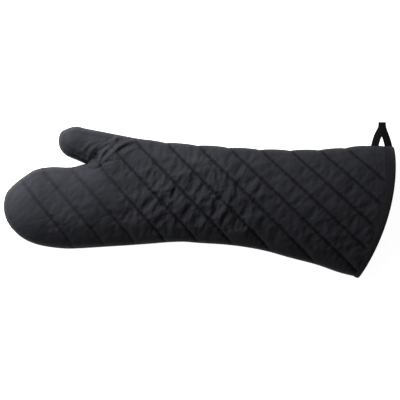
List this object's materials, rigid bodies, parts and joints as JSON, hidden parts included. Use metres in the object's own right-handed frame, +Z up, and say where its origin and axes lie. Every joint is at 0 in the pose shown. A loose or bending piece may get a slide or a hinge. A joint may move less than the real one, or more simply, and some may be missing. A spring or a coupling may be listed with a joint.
{
  "type": "oven mitt",
  "caption": "Elbow-length quilted oven mitt in black cotton with a separate thumb, a flared bound cuff and a folded tape hanging loop.",
  "frame": {"origin": "centre of the mitt's length and width, on the surface that its back panel lies on", "axes": "+X from the fingertips to the cuff, +Y across the mitt towards the thumb, +Z up out of the front panel"},
  "size_m": [0.6068, 0.2426, 0.0574],
  "materials": {
    "outer_cotton": "matt black twill cotton, quilted",
    "batting": "off-white cotton batting, loose fibres",
    "lining_cotton": "matt charcoal plain-weave cotton",
    "binding_tape": "matt black bias tape with a fine rib",
    "loop_tape": "matt black folded cotton tape",
    "thread": "black polyester sewing thread, slight sheen"
  },
  "bodies": {
    "mitt": {"outer_shell_front": "outer_cotton", "outer_shell_back": "outer_cotton", "batting_front": "batting", "batting_back": "batting", "lining_front": "lining_cotton", "lining_back": "lining_cotton", "quilting_thread_front": "thread", "quilting_thread_back": "thread", "side_seam_thread": "thread", "cuff_binding": "binding_tape", "cuff_topstitch_thread": "thread", "loop_anchor_tabs": "loop_tape", "loop_bartack_thread": "thread"},
    "thumb": {"thumb_shell_front": "outer_cotton", "thumb_shell_back": "outer_cotton", "thumb_batting_front": "batting", "thumb_batting_back": "batting", "thumb_lining_front": "lining_cotton", "thumb_lining_back": "lining_cotton", "thumb_quilting_thread": "thread", "thumb_seam_thread": "thread"},
    "loop": {"hanging_loop": "loop_tape"}
  },
  "joints": [
    {"name": "thumb_fold", "type": "hinge", "parent": "mitt", "child": "thumb", "pos_m": [-0.15145, 0.07875, 0.0363], "axis": [0.711, 0.7032, 0], "range_deg": [0, 40], "stiffness_Nm_per_rad": 0.05},
    {"name": "loop_swing", "type": "hinge", "parent": "mitt", "child": "loop", "pos_m": [0.28445, 0.0862, 0.014], "axis": [1, 0, 0], "range_deg": [-20, 110], "stiffness_Nm_per_rad": 0.004}
  ]
}
